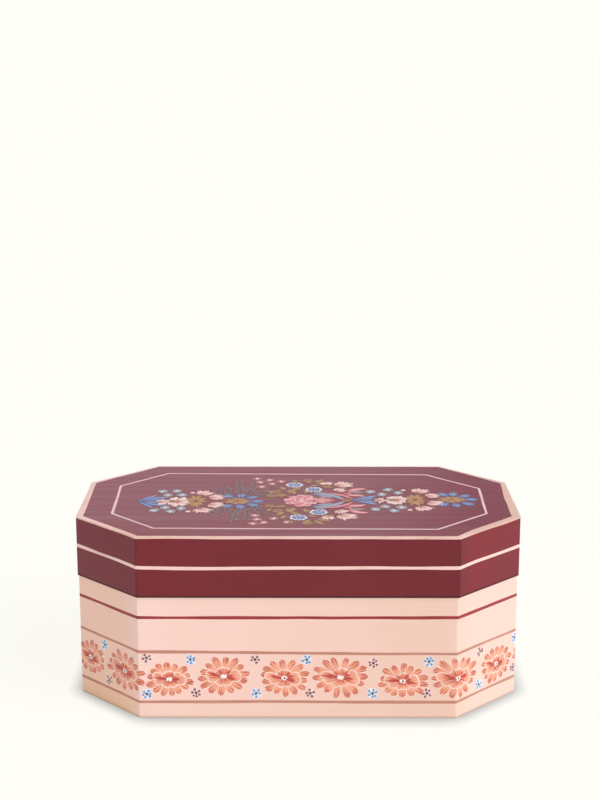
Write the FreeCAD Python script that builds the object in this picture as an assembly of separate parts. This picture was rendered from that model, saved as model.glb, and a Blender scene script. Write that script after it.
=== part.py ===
# A long octagonal keepsake box of Kashmiri papier mache, with a lid that lifts straight off.
#
# The box is two eight-sided trays. Each is a core of mitred boards under a skin of pasted
# paper. The base tray has eight wall boards round a floor board, and eight thinner lip
# boards that stand on the floor inside the walls and rise above them. The lid tray has
# eight side boards under a top board. It rests on the tops of the walls and is located by
# the lip, with a running gap, so that it pulls straight up.
#
# Frame: +X runs along the length, +Y from front to back and +Z up. The origin is the
# centre of the face that the box stands on. All sizes are in millimetres.

import FreeCAD, Part
import math
import os

# Driving sizes: outline
LID_LENGTH = 250.0        # outside, along X
LID_WIDTH = 144.0         # outside, along Y
CORNER_CUT = 37.0         # what each 45 degree corner takes off the length and the width
LID_OVERHANG = 0.7        # how far the lid stands out past the base, all round

# Driving sizes: heights
BASE_HEIGHT = 70.5        # from the table to the tops of the walls, where the lid rests
LID_HEIGHT = 34.5         # from the lid's lower edge to its top face
LIP_RISE = 14.0           # how far the lip stands above the walls, inside the lid

# Driving sizes: boards and paper
PAPER_SKIN = 0.8          # pasted paper and chalk ground over the boards
LID_SIDE_BOARD = 3.4
LID_TOP_BOARD = 4.0
FLOOR_BOARD = 4.0
LIP_BOARD = 2.4
LIP_CLEARANCE = 0.6       # running gap between the lip and the lid's side boards

# Driving sizes: softened edges
CORNER_ROUND = 1.2        # the eight upright edges, outside
RIM_ROUND = 0.5           # the edges round the top, the lid's lower edge and the foot
LIP_ROUND = 0.7           # both top edges of the lip
ROUND_LIMIT_SHARE = 0.9   # the most of a wall's thickness that a rounded edge may take

# How closely an edge has to match the height, length or direction it is picked by
HEIGHT_MATCH = 1e-4
LENGTH_MATCH_SHARE = 1e-6
PARALLEL_WITHIN_DEGREES = 1.0

# How far each layer lies in from the lid's outside faces
LID_CORE_INSET = PAPER_SKIN
LID_INNER_INSET = LID_CORE_INSET + LID_SIDE_BOARD
BASE_CORE_INSET = LID_OVERHANG + PAPER_SKIN
LIP_OUTER_INSET = LID_INNER_INSET + LIP_CLEARANCE
LIP_INNER_INSET = LIP_OUTER_INSET + LIP_BOARD

# Heights of the layers above the table
BOX_HEIGHT = BASE_HEIGHT + LID_HEIGHT
LID_TOP_CORE = BOX_HEIGHT - PAPER_SKIN
LID_CEILING = LID_TOP_CORE - LID_TOP_BOARD
FLOOR_TOP = PAPER_SKIN + FLOOR_BOARD
LIP_TOP = BASE_HEIGHT + LIP_RISE

# The eight sides, anticlockwise as seen from above, starting at the front
SIDES = (
    "front", "front_right", "right", "back_right",
    "back", "back_left", "left", "front_left",
)
UP = FreeCAD.Vector(0, 0, 1)


def octagon(inset, height):
    """The eight corners of the outline, moved in by inset, at a height.

    Corner k is where side k begins, so side k runs from corner k to corner k + 1.
    Moving a 45 degree corner in by a distance shortens its cut by (2 - sqrt 2) of it.
    """
    half_length = LID_LENGTH / 2 - inset
    half_width = LID_WIDTH / 2 - inset
    cut = CORNER_CUT - inset * (2 - math.sqrt(2))
    corners = (
        (-half_length + cut, -half_width),
        (half_length - cut, -half_width),
        (half_length, -half_width + cut),
        (half_length, half_width - cut),
        (half_length - cut, half_width),
        (-half_length + cut, half_width),
        (-half_length, half_width - cut),
        (-half_length, -half_width + cut),
    )
    return [FreeCAD.Vector(x, y, height) for x, y in corners]


def prism(corners, rise):
    """An upright solid on a flat outline."""
    outline = Part.makePolygon(corners + corners[:1])
    return Part.Face(outline).extrude(UP * rise)


def round_edges(solid, radius, chosen):
    """Rounds the edges of a solid that the function chosen picks out."""
    edges = [edge for edge in solid.Edges if chosen(edge)]
    return solid.makeFillet(radius, edges)


def plate(inset, low, high):
    """An eight-sided board or sheet that fills the outline."""
    return prism(octagon(inset, low), high - low)


def mitred_board(side, outer_inset, inner_inset, low, high):
    """One of eight boards that close a ring, mitred where it meets its neighbours."""
    outer = octagon(outer_inset, low)
    inner = octagon(inner_inset, low)
    start = side
    end = (side + 1) % len(SIDES)
    return prism([outer[start], outer[end], inner[end], inner[start]], high - low)


def is_upright(edge):
    """Whether an edge runs straight up."""
    low, high = edge.BoundBox.ZMin, edge.BoundBox.ZMax
    return math.isclose(high - low, edge.Length, rel_tol=LENGTH_MATCH_SHARE)


def lies_at(height):
    """Picks the edges that lie flat at one height."""
    def chosen(edge):
        box = edge.BoundBox
        lowest_there = math.isclose(box.ZMin, height, abs_tol=HEIGHT_MATCH)
        highest_there = math.isclose(box.ZMax, height, abs_tol=HEIGHT_MATCH)
        return lowest_there and highest_there
    return chosen


def fits(radius, wall):
    """A rounded edge that its wall leaves room for."""
    return min(radius, wall * ROUND_LIMIT_SHARE)


def paper_sheet(inset, low, rounded_height):
    """A paper sheet over the whole outline, its upright edges and one rim rounded."""
    sheet = round_edges(plate(inset, low, low + PAPER_SKIN), CORNER_ROUND, is_upright)
    return round_edges(sheet, fits(RIM_ROUND, PAPER_SKIN), lies_at(rounded_height))


def paper_band(outer_inset, low, high):
    """A band of paper round the eight sides, with rounded upright edges outside."""
    outside = round_edges(plate(outer_inset, low, high), CORNER_ROUND, is_upright)
    return outside.cut(plate(outer_inset + PAPER_SKIN, low, high))


def base_wall(side):
    """A wall board of the base. It stands on the underside sheet."""
    return mitred_board(side, BASE_CORE_INSET, LIP_OUTER_INSET, PAPER_SKIN, BASE_HEIGHT)


def lip_board(side):
    """A lip board. It stands on the floor board, against the wall, and guides the lid."""
    board = mitred_board(side, LIP_OUTER_INSET, LIP_INNER_INSET, FLOOR_TOP, LIP_TOP)
    run = octagon(LIP_OUTER_INSET, LIP_TOP)
    along = run[(side + 1) % len(SIDES)] - run[side]
    along.normalize()

    def is_top_run(edge):
        if not lies_at(LIP_TOP)(edge):
            return False
        direction = edge.tangentAt(edge.FirstParameter)
        return abs(direction.dot(along)) > math.cos(math.radians(PARALLEL_WITHIN_DEGREES))

    return round_edges(board, fits(LIP_ROUND, LIP_BOARD / 2), is_top_run)


def lid_side(side):
    """A side board of the lid. It hangs from the top board and rests on the walls."""
    return mitred_board(side, LID_CORE_INSET, LID_INNER_INSET, BASE_HEIGHT, LID_CEILING)


def lid_side_skin():
    """The painted paper round the lid, with a softened lower edge."""
    band = round_edges(plate(0, BASE_HEIGHT, LID_TOP_CORE), CORNER_ROUND, is_upright)
    band = round_edges(band, fits(RIM_ROUND, PAPER_SKIN), lies_at(BASE_HEIGHT))
    return band.cut(plate(LID_CORE_INSET, BASE_HEIGHT, LID_TOP_CORE))


def sub_parts():
    """Every node's name with its solid."""
    parts = {
        "base_underside_skin": paper_sheet(LID_OVERHANG, 0, 0),
        "base_side_skin": paper_band(LID_OVERHANG, PAPER_SKIN, BASE_HEIGHT),
        "base_floor": plate(LIP_OUTER_INSET, PAPER_SKIN, FLOOR_TOP),
        "lid_top_board": plate(LID_CORE_INSET, LID_CEILING, LID_TOP_CORE),
        "lid_top_skin": paper_sheet(0, LID_TOP_CORE, BOX_HEIGHT),
        "lid_side_skin": lid_side_skin(),
    }
    for index, side in enumerate(SIDES):
        parts["base_wall_" + side] = base_wall(index)
        parts["base_lip_" + side] = lip_board(index)
        parts["lid_side_" + side] = lid_side(index)
    return parts


def main():
    os.makedirs("parts", exist_ok=True)
    for name, shape in sub_parts().items():
        shape.exportStep(os.path.join("parts", name + ".step"))
        print(name, "solids", len(shape.Solids), "valid", shape.isValid(), "mm3", round(shape.Volume, 1))


main()
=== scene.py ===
# A painted keepsake box of Kashmiri papier mache: the finish of every surface, the band of
# coral flowers round the base, and the sprays brushed on the lid in thick gouache.
#
# The box stands on the floor, with +X along its length and +Y to the back. Lengths are in
# millimetres, and become metres where they reach a mesh. A pattern is first laid out flat
# and then carried to its place: round the walls for the base, and level for the lid.

import bpy
import math
import random

from functools import partial, reduce
from mathutils import Matrix, Vector, noise


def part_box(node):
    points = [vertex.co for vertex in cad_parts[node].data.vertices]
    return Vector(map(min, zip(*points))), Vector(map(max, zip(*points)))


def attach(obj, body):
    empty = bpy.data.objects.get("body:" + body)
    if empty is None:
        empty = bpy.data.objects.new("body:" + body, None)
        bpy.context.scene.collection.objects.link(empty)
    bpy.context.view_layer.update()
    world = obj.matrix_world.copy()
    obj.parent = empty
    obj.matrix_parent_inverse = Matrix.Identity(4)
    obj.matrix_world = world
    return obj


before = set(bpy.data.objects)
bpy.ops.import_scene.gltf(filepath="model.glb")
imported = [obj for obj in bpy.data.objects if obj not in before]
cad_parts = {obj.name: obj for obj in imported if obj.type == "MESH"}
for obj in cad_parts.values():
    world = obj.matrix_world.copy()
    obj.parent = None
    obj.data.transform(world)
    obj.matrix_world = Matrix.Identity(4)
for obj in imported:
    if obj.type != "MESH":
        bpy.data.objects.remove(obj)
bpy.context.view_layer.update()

MM = 0.001

# The camera, found by fitting the corners of the box in the photograph
CAMERA_PLACE = (3.6, -886.7, 370.9)
CAMERA_DOWN_DEGREES = 13.11
CAMERA_TURN_DEGREES = 0.17
LENS = 71.28
SENSOR = 36.0

# The studio
BACKDROP_COLOUR = (1.0, 0.991, 0.939)
FILL_STRENGTH = 0.62
SUN_ENERGY = 1.85
SUN_SIZE_DEGREES = 35.0
SUN_RIGHT_DEGREES = 60.0
SUN_UP_DEGREES = 40.0
FLOOR_SIZE_METRES = 60.0
FLOOR_ALBEDO = 0.96
SHADOW_SHARE = 0.1
# A painted contact shadow in the floor's glow: its tone, the openness at which it is full, and how far it
# reaches from the box, less round the ends
CONTACT_SHADOW_TONE = 0.5
CONTACT_FULL_AT = 0.5
CONTACT_REACH = 15.0
CONTACT_REACH_AT_ENDS = 10.0

# Painted shade at the foot of the walls and along one edge, and wear at corners and rims,
# which on the pale paint is also a painted highlight
FOOT_SHADE_HEIGHT = 22.0
FOOT_SHADE_SHARE = 0.4
EDGE_SHADE_REACH = 1.8
EDGE_SHADE_SHARE = 0.95
EDGE_SHADE_ROUGHNESS = 0.45
WEAR_FULL = 0.3
WEAR_ENDS = 1.6

# Where along the lid its varnish starts to dull towards the right, and by how much it does
DULLING_STARTS = 25.0
LID_DULLING = 0.18

# The varnish, the haze in it, and how much its roughness varies over the marks of a brush
VARNISH_IOR = 1.4
SHEEN = 0.18
SHEEN_ROUGHNESS = 0.4
SHEEN_TINT = (0.95, 0.5, 1.0)
LID_ROUGHNESS = 0.4
BASE_ROUGHNESS = 0.42
INSIDE_ROUGHNESS = 0.55
SMOOTHER_BY = 0.05
ROUGHER_BY = 0.08
GOUACHE_ROUGHNESS = (0.36, 0.52)

# Relief of the brushed grounds, of the grain in them, and of the bristle marks in gouache
BRUSH_RELIEF = 0.03
GRAIN_SHARE = 0.25
BRISTLE_RELIEF = 0.02

# Noises: grains to the metre (or to a dab) along each axis, detail and roughness
FLAT_BRUSH = ((14, 620, 14), 3.0, 0.6)
WALL_BRUSH = ((14, 14, 620), 3.0, 0.6)
CLOUDS = ((26, 26, 9), 2.0, 0.5)
WORN_PATCHES = ((260, 260, 260), 4.0, 0.7)
THIN_PLACES = ((70, 70, 260), 3.0, 0.6)
GRAIN = ((1500, 1500, 1500), 2.0, 0.5)
BRISTLES = ((26, 2.2, 1.0), 2.0, 0.6)

# A face counts as flat when its normal rises more than this
FLAT_ABOVE = 0.7

# From which value to which one a noise rises, and the shares that it then runs between
CLOUD_RANGE = (0.4, 0.7, 0.0, 0.7)
STREAK_RANGE = (0.4, 0.75, 0.0, 0.6)
WORN_RANGE = (0.4, 0.65, 0.15, 0.8)
THIN_RANGE = (0.45, 0.75)
LINE_STREAK_RANGE = (0.45, 0.8, 0.0, 0.5)
GLOSS_RANGE = (0.3, 0.7)

# Gouache: where along a dab the tone of its root ends and that of its tip starts, how far the
# bristles carry them, and how light and dark the dabs and their bristle marks are
ROOT_RANGE = (0.0, 0.4)
TIP_RANGE = (0.7, 1.0)
BRISTLE_WANDER = 0.5
BRISTLE_CONTRAST = 0.3
DARKEST_DAB = 0.93
DAB_CONTRAST = 0.16

# How the surfaces are rounded, and how thick the gouache lies
CORNER_ROUND = 1.2
RIM_ROUND = 0.5
PAINT_DEPTH = 0.3
FIRST_COAT = 0.03
COAT_STEP = 0.014
DAB_CROWN = 0.005
LINE_LIFT = 0.06
DAB_SMOOTH_DEGREES = 30.0
LINE_SMOOTH_DEGREES = 50.0

# Painted lines: heights up the walls, or insets from the lid's edge, of their rows of points
LID_SIDE_LINE = (86.75, 87.7, 88.65)
MAROON_LINE = (58.05, 58.95, 59.85)
UPPER_BAND_LINE = (37.5, 38.3, 39.1)
LOWER_BAND_LINE = (8.6, 9.4, 10.2)
BORDER = (-0.95, -0.5, -0.17, 0.17, 0.5, 1.5, 2.5)

# Length of a line's steps, and how near each other its ends are where they meet
LINE_STEP = 4.0
ENDS_MEET_WITHIN = 0.001

# How much of the border's widening each of its rows takes part in
BORDER_WIDENS = (0, 0, 0, 0, 0, 0.5, 1)

# How far the lines drift as a whole and their edges wander, and waves to the millimetre of both
LINE_DRIFT = 0.15
INNER_LINE_DRIFT = 0.25
LINE_WANDER = 0.15
BORDER_WANDER = 0.2
DRIFT_WAVES = 0.013
WANDER_WAVES = 0.05
INNER_LINE_DRIFT_WAVES = 0.02
INNER_LINE_WANDER_WAVES = 0.06

# How a painted line changes from the front and back of the box to its ends
END_STARTS = 86.0
END_REACHED = 98.0
BORDER_EXTRA_AT_ENDS = 1.6
BORDER_EXTRA_TO_THE_RIGHT = 0.45
BORDER_LESS_BEHIND = 0.7
BORDER_RAISED_AT_ENDS = 0.4

# Corners of the inner line on the lid, anticlockwise from the front left, and its measures across
INNER_LINE_CORNERS = (
    (-79.7, -55.6), (77.0, -57.1), (106.7, -28.0), (107.7, 22.5),
    (78.0, 52.1), (-80.3, 54.8), (-106.4, 27.6), (-105.3, -28.3),
)
INNER_LINE = (-0.74, 0.0, 0.74)

# Steps on each side of the inner line, and how much of a side rounding may be out by
INNER_LINE_STEPS = 8
ROUNDING = 1e-4

# The drawing on the lid sits a little off its middle and askew
LID_DRAWING_SHIFT = (0.7, -1.8)
LID_DRAWING_TURN_DEGREES = -0.7

TURN = math.pi / 4
HALF_TURN_REACH = math.tan(TURN / 2)
SHARPEST_TURN = 0.3


def mm_box(*nodes):
    """Lowest and highest corner of some nodes, in millimetres."""
    boxes = [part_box(node) for node in nodes]
    low = Vector([min(box[0][axis] for box in boxes) for axis in range(3)])
    high = Vector([max(box[1][axis] for box in boxes) for axis in range(3)])
    return low / MM, high / MM


# The outline of the lid, read from the parts in model.glb
LID_HIGH = mm_box("lid_side_skin", "lid_top_skin")[1]
HALF_LENGTH = LID_HIGH.x
HALF_WIDTH = LID_HIGH.y
TOP = LID_HIGH.z
SEAM = mm_box("lid_side_skin")[0].z
SKIN = HALF_LENGTH - mm_box("lid_top_board")[1].x
CUT_SHORTENING = 2 - math.sqrt(2)
CORNER_CUT = mm_box("lid_top_board")[1].x - mm_box("lid_side_front")[1].x + SKIN * CUT_SHORTENING
BASE_INSET = HALF_LENGTH - mm_box("base_side_skin")[1].x


def link(thing):
    bpy.context.collection.objects.link(thing)
    return thing


# Camera, lamp, backdrop and floor


def set_camera():
    """The photograph's view of the box."""
    data = bpy.data.cameras.new("photo_view")
    data.sensor_width = SENSOR
    data.lens = LENS
    camera = link(bpy.data.objects.new("photo_view", data))
    camera.location = Vector(CAMERA_PLACE) * MM
    camera.rotation_euler = (math.radians(90 - CAMERA_DOWN_DEGREES), 0, math.radians(CAMERA_TURN_DEGREES))
    bpy.context.scene.camera = camera


def set_sun():
    """A large soft lamp, high on the right."""
    data = bpy.data.lights.new("soft_key", "SUN")
    data.energy = SUN_ENERGY
    data.angle = math.radians(SUN_SIZE_DEGREES)
    sun = link(bpy.data.objects.new("soft_key", data))
    sun.rotation_euler = (math.radians(90 - SUN_UP_DEGREES), 0, math.radians(SUN_RIGHT_DEGREES))


def add_node(tree, kind, inputs=None, **settings):
    """A shader node. An input that is given a socket is linked, and any other is set."""
    made = tree.nodes.new("ShaderNode" + kind)
    for name, value in settings.items():
        setattr(made, name, value)
    for key, value in (inputs or {}).items():
        if isinstance(value, bpy.types.NodeSocket):
            tree.links.new(value, made.inputs[key])
        else:
            made.inputs[key].default_value = value
    return made


def compute(tree, operation, *values):
    """The result of one sum on sockets or numbers."""
    return add_node(tree, "Math", dict(enumerate(values)), operation=operation).outputs[0]


def mix_shaders(tree, factor, first, second):
    return add_node(tree, "MixShader", {0: factor, 1: first, 2: second}).outputs[0]


def mix_colours(tree, factor, first, second):
    return add_node(tree, "Mix", {0: factor, 6: first, 7: second}, data_type="RGBA").outputs[2]


def spread(tree, value, low, high, to_low=0.0, to_high=1.0):
    """Stretches a value from one range to another, and holds it there."""
    return add_node(tree, "MapRange", {0: value, 1: low, 2: high, 3: to_low, 4: to_high},
                    interpolation_type="SMOOTHSTEP").outputs[0]


def place_of(tree):
    """A point's place on the box."""
    return add_node(tree, "TexCoord").outputs["Object"]


def axes_of(tree, vector):
    return add_node(tree, "SeparateXYZ", {0: vector}).outputs


def solid(colour):
    return (*colour, 1.0)


def fresh_tree(owner):
    owner.use_nodes = True
    owner.node_tree.nodes.clear()
    return owner.node_tree


def seen_directly(tree):
    """One for rays from the camera and for reflections of the studio."""
    path = add_node(tree, "LightPath").outputs
    either = compute(tree, "MAXIMUM", path["Is Camera Ray"], path["Is Glossy Ray"])
    return compute(tree, "MAXIMUM", either, path["Is Transmission Ray"])


def set_world():
    """Even fill light, and the pale backdrop where it is seen."""
    world = bpy.data.worlds.new("studio")
    tree = fresh_tree(world)
    fill = add_node(tree, "Background", {0: (1, 1, 1, 1), 1: FILL_STRENGTH})
    shown = add_node(tree, "Background", {0: solid(BACKDROP_COLOUR), 1: 1.0})
    mixed = mix_shaders(tree, seen_directly(tree), fill.outputs[0], shown.outputs[0])
    add_node(tree, "OutputWorld", {"Surface": mixed})
    bpy.context.scene.world = world


def floor_material():
    """Matt white that shows the backdrop's colour, a painted contact shadow in its glow and a share
    of real shadow. Clear from below.
    """
    material = bpy.data.materials.new("studio_floor")
    tree = fresh_tree(material)
    lit = [channel * FLOOR_ALBEDO for channel in BACKDROP_COLOUR]
    matt = add_node(tree, "BsdfDiffuse", {0: solid(lit)}).outputs[0]
    along = compute(tree, "ABSOLUTE", axes_of(tree, place_of(tree))["X"])
    reach = spread(tree, along, END_STARTS * MM, END_REACHED * MM,
                   CONTACT_REACH * MM, CONTACT_REACH_AT_ENDS * MM)
    # Painted contact shadow: the glow darkens where ambient occlusion finds the box near
    nearness = add_node(tree, "AmbientOcclusion", {"Distance": reach}).outputs["AO"]
    openness = add_node(tree, "MapRange", {0: nearness, 1: CONTACT_FULL_AT, 2: 1.0})
    contact_shadow = [channel * CONTACT_SHADOW_TONE for channel in BACKDROP_COLOUR]
    tone = mix_colours(tree, openness.outputs[0], solid(contact_shadow), solid(BACKDROP_COLOUR))
    glow = add_node(tree, "Emission", {0: tone, 1: 1.0}).outputs[0]
    lifted = mix_shaders(tree, 1 - SHADOW_SHARE, matt, glow)
    shown = mix_shaders(tree, seen_directly(tree), matt, lifted)
    clear = add_node(tree, "BsdfTransparent").outputs[0]
    below = add_node(tree, "NewGeometry").outputs["Backfacing"]
    add_node(tree, "OutputMaterial", {0: mix_shaders(tree, below, shown, clear)})
    return material


def set_floor():
    bpy.ops.mesh.primitive_plane_add(size=FLOOR_SIZE_METRES, location=(0, 0, 0))
    floor = bpy.context.object
    floor.name = "studio_floor"
    floor.data.materials.append(floor_material())


# Finishes


def noise_of(tree, place, grains, detail, roughness):
    """Soft noise, with a number of grains to the metre along each axis."""
    scaled = add_node(tree, "Mapping", {"Vector": place, "Scale": grains}).outputs[0]
    return add_node(tree, "TexNoise", {"Vector": scaled, "Scale": 1.0, "Detail": detail,
                    "Roughness": roughness}).outputs["Fac"]


def brush_marks(tree, place):
    """Long fine streaks: level on the walls, and along the box on its flat faces."""
    normal = add_node(tree, "NewGeometry").outputs["Normal"]
    flatness = compute(tree, "ABSOLUTE", axes_of(tree, normal)["Z"])
    flat = compute(tree, "GREATER_THAN", flatness, FLAT_ABOVE)
    upright = compute(tree, "SUBTRACT", 1.0, flat)
    level_marks = compute(tree, "MULTIPLY", flat, noise_of(tree, place, *FLAT_BRUSH))
    wall_marks = compute(tree, "MULTIPLY", upright, noise_of(tree, place, *WALL_BRUSH))
    return compute(tree, "ADD", level_marks, wall_marks)


def brushed_roughness(tree, marks, roughness):
    return spread(tree, marks, *GLOSS_RANGE, roughness - SMOOTHER_BY, roughness + ROUGHER_BY)


def wear_and_highlight_near_edges(tree, place, inset, rims):
    """One at the upright corners and level rims of a tray, fading out over a millimetre: wear, and on
    the pale paint also a painted highlight.
    """
    folded = add_node(tree, "VectorMath", {0: place}, operation="ABSOLUTE").outputs[0]
    level = add_node(tree, "VectorMath", {0: folded, 1: (1, 1, 0)}, operation="MULTIPLY").outputs[0]
    length, width, cut = outline_at(inset)
    gaps = []
    for corner in ((length - cut, width), (length, width - cut)):
        spot = Vector((*corner, 0)) * MM
        gap = add_node(tree, "VectorMath", {0: level, 1: spot}, operation="DISTANCE")
        gaps.append(gap.outputs["Value"])
    for rim in rims:
        above = compute(tree, "SUBTRACT", axes_of(tree, place)["Z"], rim * MM)
        gaps.append(compute(tree, "ABSOLUTE", above))
    nearest = reduce(partial(compute, tree, "MINIMUM"), gaps)
    near = spread(tree, nearest, WEAR_FULL * MM, WEAR_ENDS * MM, 1.0, 0.0)
    patchy = spread(tree, noise_of(tree, place, *WORN_PATCHES), *WORN_RANGE)
    return compute(tree, "MULTIPLY", near, patchy)


def varnish(tree, colour, roughness, relief, depth):
    """Satin varnish over paint."""
    bump = add_node(tree, "Bump", {"Height": relief, "Distance": depth * MM, "Strength": 1.0})
    shader = add_node(tree, "BsdfPrincipled", {
        "Base Color": colour, "Roughness": roughness, "Normal": bump.outputs[0], "IOR": VARNISH_IOR,
        "Sheen Weight": SHEEN, "Sheen Roughness": SHEEN_ROUGHNESS, "Sheen Tint": solid(SHEEN_TINT)})
    add_node(tree, "OutputMaterial", {0: shader.outputs[0]})


# The tones of each ground. The first four run along the box and are painted light and shade:
# the grounds outside are lighter to the left and darker to the right, the lid's top is darkest at
# its right end, the pale and maroon walls are painted lighter round the right end, and the pale
# walls take a painted warm shade round the left end. The two tones of the foot are painted shade
# near the floor, the tone of wear is also a painted highlight on the pale paint, and the last tone
# is painted shade along one edge.
TONES = ("left_end", "left", "right", "right_end", "streaks", "clouds", "foot", "left_foot", "wear_and_highlight", "edge_shade")
GROUNDS = {
    "inside_paint": (
        *[(0.15, 0.012, 0.016)] * 4, (0.18, 0.02, 0.022), (0.13, 0.01, 0.014),
        *[(0.14, 0.012, 0.015)] * 2, (0.2, 0.03, 0.03), (0.1, 0.008, 0.01),
    ),
    "lid_top_paint": (
        (0.176, 0.0095, 0.0165), (0.174, 0.0095, 0.0165), (0.15, 0.006, 0.01), (0.135, 0.004, 0.006),
        (0.19, 0.013, 0.021), (0.175, 0.012, 0.02), (0.17, 0.01, 0.016), (0.17, 0.01, 0.016),
        (0.1, 0.006, 0.01), (0.02, 0.001, 0.001),
    ),
    "maroon_paint": (
        (0.17, 0.009, 0.0165), (0.176, 0.01, 0.0165), (0.153, 0.009, 0.015), (0.235, 0.01, 0.0155),
        (0.185, 0.012, 0.02), (0.178, 0.0115, 0.019), (0.17, 0.01, 0.016), (0.17, 0.01, 0.016),
        (0.1, 0.006, 0.01), (0.012, 0.0005, 0.0005),
    ),
    "pale_paint": (
        (0.95, 0.62, 0.49), (0.97, 0.675, 0.625), (0.845, 0.58, 0.455), (0.92, 0.64, 0.55),
        (0.93, 0.65, 0.57), (0.92, 0.625, 0.54), (0.79, 0.59, 0.49), (0.97, 0.58, 0.22),
        (0.94, 0.69, 0.59), (0.62, 0.39, 0.28),
    ),
}


def brushed_paint(name, inset, rims, shaded_edge, roughness, dulling=0.0):
    """Colour laid on with a wide brush: clouded, streaked and worn, and with painted light and
    shade along the box.

    Near the floor it is darkened as painted shade, and along one edge as painted shade under the
    lid or at the floor. Where it is worn at corners and rims, the pale paint also takes a painted
    highlight. Its varnish may be duller to the right.
    """
    tones = {part: solid(tone) for part, tone in zip(TONES, GROUNDS[name])}
    material = bpy.data.materials.new(name)
    tree = fresh_tree(material)
    place = place_of(tree)
    marks = brush_marks(tree, place)
    axes = axes_of(tree, place)
    # Painted light and shade: lighter to the left and darker to the right along the box
    along = spread(tree, axes["X"], -HALF_LENGTH * MM, HALF_LENGTH * MM)
    colour = mix_colours(tree, along, tones["left"], tones["right"])
    to_left = spread(tree, axes["X"], -END_REACHED * MM, -END_STARTS * MM, 1.0, 0.0)
    # Painted shade along one edge: under the lid's overhang, or where the walls meet the floor
    from_edge = compute(tree, "SUBTRACT", axes["Z"], shaded_edge * MM)
    edge_shade = spread(tree, from_edge, 0.0, EDGE_SHADE_REACH * MM, EDGE_SHADE_SHARE, 0.0)
    for share, tone in (
            # Painted light and shade round the two ends of the box
            (spread(tree, axes["X"], END_STARTS * MM, END_REACHED * MM), tones["right_end"]),
            (to_left, tones["left_end"]),
            (spread(tree, noise_of(tree, place, *CLOUDS), *CLOUD_RANGE), tones["clouds"]),
            (spread(tree, marks, *STREAK_RANGE), tones["streaks"]),
            # Painted shade: darker towards the floor, and warmer round the left end
            (spread(tree, axes["Z"], 0, FOOT_SHADE_HEIGHT * MM, FOOT_SHADE_SHARE, 0.0),
             mix_colours(tree, to_left, tones["foot"], tones["left_foot"])),
            # Wear at corners and rims, which on the pale paint is also a painted highlight
            (wear_and_highlight_near_edges(tree, place, inset, rims), tones["wear_and_highlight"]),
            # Painted shade along the edge
            (edge_shade, tones["edge_shade"])):
        colour = mix_colours(tree, share, colour, tone)
    dulled = spread(tree, axes["X"], DULLING_STARTS * MM, HALF_LENGTH * MM, 0.0, dulling)
    # Rougher too under the painted edge shade, and duller to the right
    duller = compute(tree, "MULTIPLY_ADD", edge_shade, EDGE_SHADE_ROUGHNESS, dulled)
    rough = compute(tree, "ADD", brushed_roughness(tree, marks, roughness), duller)
    grain = compute(tree, "MULTIPLY", noise_of(tree, place, *GRAIN), GRAIN_SHARE)
    varnish(tree, colour, rough, compute(tree, "ADD", marks, grain), BRUSH_RELIEF)
    return material


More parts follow.
